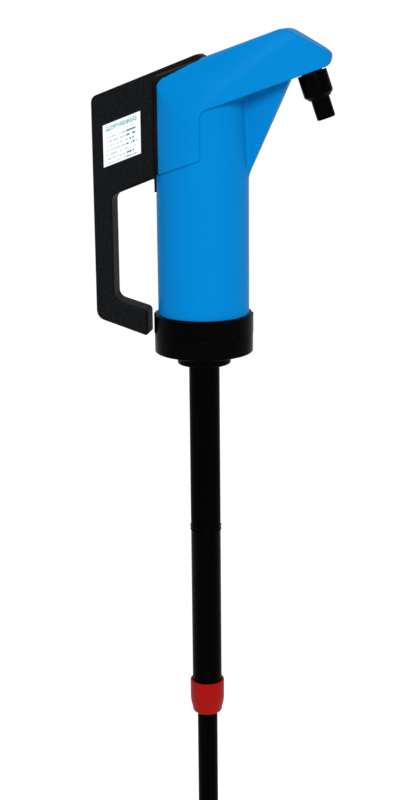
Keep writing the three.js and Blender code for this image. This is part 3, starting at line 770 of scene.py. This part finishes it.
HOUSING = moulded(
    "blue_housing", linear(0, 108, 173), linear(0, 113, 179),
    rough=(0.36, 0.46), grain_scale=2200.0, grain_depth=0.00004, gloss=0.02,
)
LEVER_BLACK = grained("grained_black", linear(2, 2, 3), linear(18, 20, 22), rough=(0.5, 0.66))
GLOSS_BLACK = moulded(
    "gloss_black", linear(1, 1, 1), linear(3, 3, 3),
    rough=(0.18, 0.28), grain_scale=900.0, grain_depth=0.00002, gloss=0.015,
)
TUBE_BLACK = moulded(
    "tube_black", linear(1, 1, 1), linear(2, 2, 2),
    rough=(0.26, 0.36), grain_scale=700.0, grain_depth=0.00002, gloss=0.01,
)
CLAMP_RED = moulded(
    "clamp_red", linear(126, 7, 4), linear(136, 10, 6),
    rough=(0.34, 0.44), grain_scale=1500.0, grain_depth=0.00004, gloss=0.05,
)
NATURAL = moulded(
    "natural_plastic", linear(202, 200, 190), linear(214, 212, 204),
    rough=(0.45, 0.55), grain_scale=1500.0, grain_depth=0.00005,
)
RUBBER = moulded(
    "seal_rubber", linear(18, 18, 18), linear(26, 26, 26),
    rough=(0.7, 0.85), grain_scale=1200.0, grain_depth=0.00006, gloss=0.2,
)


def make_steel():
    material, tree, shader = new_material("ground_steel")
    shader.inputs["Metallic"].default_value = 1.0
    tree.links.new(mix_colours(tree, noise(tree, 30.0), (0.42, 0.43, 0.44), (0.52, 0.53, 0.54)),
                   shader.inputs["Base Color"])
    lines = noise(tree, 400.0, 3.0, (1, 1, 14))
    tree.links.new(spread(tree, lines, 0.22, 0.36), shader.inputs["Roughness"])
    bump(tree, shader, lines, 0.00003)
    return material


def make_glass():
    material, tree, shader = new_material("valve_glass")
    shader.inputs["Transmission Weight"].default_value = 0.9
    shader.inputs["IOR"].default_value = 1.5
    tree.links.new(mix_colours(tree, noise(tree, 60.0), (0.8, 0.9, 0.88), (0.9, 0.96, 0.95)),
                   shader.inputs["Base Color"])
    tree.links.new(spread(tree, noise(tree, 300.0), 0.04, 0.1), shader.inputs["Roughness"])
    return material


def make_label():
    """A white film with generic printed lines: a heading, rows of short text and a thin dark border."""
    material, tree, shader = new_material("printed_label")
    coordinates = add(tree, "ShaderNodeTexCoord")
    split = add(tree, "ShaderNodeSeparateXYZ")
    tree.links.new(coordinates.outputs["Object"], split.inputs["Vector"])

    def calc(operation, a, b=None, c=None):
        node = add(tree, "ShaderNodeMath", operation=operation)
        for socket, value in zip(node.inputs, (a, b, c)):
            if value is None:
                continue
            if isinstance(value, (int, float)):
                socket.default_value = value
            else:
                tree.links.new(value, socket)
        return node.outputs["Value"]

    def between(value, low, high):
        return calc("MULTIPLY", calc("GREATER_THAN", value, low), calc("LESS_THAN", value, high))

    across = calc("SUBTRACT", split.outputs["X"], LABEL_X * MM)
    rise = calc("MULTIPLY", across, LABEL_SLOPE)
    up = calc("SUBTRACT", calc("SUBTRACT", split.outputs["Z"], LABEL_Z * MM), rise)
    row = calc("DIVIDE", up, LABEL_ROW * MM)
    row_number = calc("FLOOR", row)
    words_per_metre, row_shift = 520.0, 7.3
    words = add(tree, "ShaderNodeTexNoise", Scale=1.0, Detail=0.0)
    place = add(tree, "ShaderNodeCombineXYZ")
    tree.links.new(calc("MULTIPLY", across, words_per_metre), place.inputs["X"])
    tree.links.new(calc("MULTIPLY", row_number, row_shift), place.inputs["Y"])
    tree.links.new(place.outputs["Vector"], words.inputs["Vector"])
    letter = calc("GREATER_THAN", words.outputs["Fac"], 0.46)
    strokes = add(tree, "ShaderNodeTexNoise", Scale=1500.0, Detail=1.0)
    tree.links.new(coordinates.outputs["Object"], strokes.inputs["Vector"])
    stroke = calc("GREATER_THAN", strokes.outputs["Fac"], 0.5)
    line = calc("MULTIPLY", between(calc("FRACT", row), 0.3, 0.7), letter)
    width, height = LABEL_W * MM, LABEL_H * MM
    body = calc("MULTIPLY", between(up, 0.04 * height, 0.74 * height), line)
    text = calc("MULTIPLY", body, between(across, 0.62 * width, 0.9 * width))
    faint = calc("MULTIPLY", body, between(across, 0.1 * width, 0.6 * width))
    heading_band = between(up, 0.8 * height, 0.91 * height)
    heading_span = between(across, 0.08 * width, 0.9 * width)
    heading = calc("MULTIPLY", calc("MULTIPLY", heading_band, heading_span), stroke)
    border = calc("GREATER_THAN", up, 0.975 * height)

    def ink(factor, under, colour):
        node = add(tree, "ShaderNodeMix", data_type="RGBA")
        tree.links.new(factor, node.inputs["Factor"])
        tree.links.new(under, node.inputs["A"])
        node.inputs["B"].default_value = (*colour, 1)
        return node.outputs["Result"]

    film = mix_colours(tree, noise(tree, 90.0), linear(206, 214, 214), linear(218, 222, 222))
    printed = ink(text, film, linear(70, 112, 116))
    printed = ink(faint, printed, linear(170, 176, 178))
    printed = ink(heading, printed, linear(70, 138, 150))
    tree.links.new(ink(border, printed, linear(12, 14, 60)), shader.inputs["Base Color"])
    tree.links.new(spread(tree, noise(tree, 300.0), 0.25, 0.35), shader.inputs["Roughness"])
    shader.inputs["Specular IOR Level"].default_value = 0.2
    bump(tree, shader, noise(tree, 120.0), 0.00005)
    return material


STEEL = make_steel()
GLASS = make_glass()
LABEL = make_label()


# ---------------------------------------------------------------- pieces on their bodies
def finish_piece(piece, body, material, slot, *nodes):
    """Gives a piece its material and body, in place of its CAD nodes. The slot argument is not used."""
    piece.data.materials.append(material)
    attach(piece, body)
    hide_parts(*nodes)


finish_piece(make_hood(), "housing", HOUSING, "housing_plastic", "hood_cover")
finish_piece(make_body(), "housing", HOUSING, "housing_plastic", "pump_body")
finish_piece(make_lever(), "lever", LEVER_BLACK, "lever_plastic", "lever_handle")
finish_piece(make_union_nut(), "union_ring", GLOSS_BLACK, "gloss_black", "union_nut")
finish_piece(make_boss(), "housing", GLOSS_BLACK, "gloss_black", "base_flange")
finish_piece(make_outer_tube(), "housing", TUBE_BLACK, "tube_plastic", "outer_tube")
finish_piece(make_inner_tube(), "lower_tube", TUBE_BLACK, "tube_plastic", "inner_tube")
finish_piece(make_clamp_nut(), "tube_clamp", CLAMP_RED, "clamp_red", "clamp_nut")
finish_piece(make_spout_collar(), "housing", GLOSS_BLACK, "gloss_black", "spout_collar")
finish_piece(make_spout_nozzle(), "housing", GLOSS_BLACK, "gloss_black", "spout_nozzle")

# CAD nodes that are shown as they are, by material
CARRIED = {
    NATURAL: ["pivot_bush_left", "pivot_bush_right", "piston", "cylinder_liner", "cylinder_head",
              "outlet_duct", "valve_cage", "clamp_collet", "tube_stop_ring"],
    STEEL: ["pivot_pin", "piston_rod", "rod_pin", "piston_nut"],
    RUBBER: ["piston_seal", "piston_valve", "rod_seal", "spout_seal", "base_gasket", "clamp_seal"],
    GLOSS_BLACK: ["rod_gland"],
    GLASS: ["suction_ball"],
    LABEL: ["lever_label"],
}
for material, nodes in CARRIED.items():
    for node in nodes:
        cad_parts[node].data.materials.clear()
        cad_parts[node].data.materials.append(material)


# ---------------------------------------------------------------- stage and light
# Metres. The floor runs far past the view, so that its edge doesn't show against the white backdrop.
FLOOR_Z = -0.9
FLOOR_HALF = 4000.0
ROOM_STRENGTH = 0.6
KEY_STRENGTH = 2.9
KEY_ANGLE = math.radians(24)
KEY_PLACE = (0.9, -2.8, 1.75)
RIM_PLACE = (-0.5, 1.2, 2.0)
RIM_SIZE = 0.5
RIM_POWER = 14


def make_stage():
    mesh = bpy.data.meshes.new("floor")
    corners = ((-1, -1), (1, -1), (1, 1), (-1, 1))
    mesh.from_pydata([(x * FLOOR_HALF, y * FLOOR_HALF, FLOOR_Z) for x, y in corners], [], [(0, 1, 2, 3)])
    floor = bpy.data.objects.new("floor", mesh)
    bpy.context.scene.collection.objects.link(floor)
    material, tree, shader = new_material("pale_floor")
    tree.links.new(mix_colours(tree, noise(tree, 2.0), (0.94, 0.94, 0.94), (0.96, 0.96, 0.96)),
                   shader.inputs["Base Color"])
    shader.inputs["Roughness"].default_value = 1.0
    shader.inputs["Specular IOR Level"].default_value = 0.0
    mesh.materials.append(material)


def place_light(name, data, place, aim):
    """Puts a light in the scene, pointing at a place."""
    light = bpy.data.objects.new(name, data)
    bpy.context.scene.collection.objects.link(light)
    light.location = place
    light.rotation_euler = (Vector(aim) - Vector(place)).to_track_quat("-Z", "Y").to_euler()


def make_light():
    """A white room with a stronger white backdrop for the camera only, a soft key and a light behind."""
    world = bpy.data.worlds.new("studio")
    bpy.context.scene.world = world
    world.use_nodes = True
    tree = world.node_tree
    room = tree.nodes["Background"]
    room.inputs["Color"].default_value = (1, 1, 1, 1)
    room.inputs["Strength"].default_value = ROOM_STRENGTH
    backdrop = add(tree, "ShaderNodeBackground", Strength=1.0)
    backdrop.inputs["Color"].default_value = (1, 1, 1, 1)
    rays = add(tree, "ShaderNodeLightPath")
    mix = add(tree, "ShaderNodeMixShader")
    tree.links.new(rays.outputs["Is Camera Ray"], mix.inputs["Fac"])
    tree.links.new(room.outputs["Background"], mix.inputs[1])
    tree.links.new(backdrop.outputs["Background"], mix.inputs[2])
    tree.links.new(mix.outputs["Shader"], tree.nodes["World Output"].inputs["Surface"])
    key = bpy.data.lights.new("key", "SUN")
    key.energy = KEY_STRENGTH
    key.angle = KEY_ANGLE
    place_light("key", key, KEY_PLACE, (0, 0, 0))
    rim = bpy.data.lights.new("rim", "AREA")
    rim.shape = "SQUARE"
    rim.size = RIM_SIZE
    rim.energy = RIM_POWER
    place_light("rim", rim, RIM_PLACE, (0, 0, 0.3))
    bpy.context.scene.view_settings.view_transform = "Standard"


make_stage()
make_light()
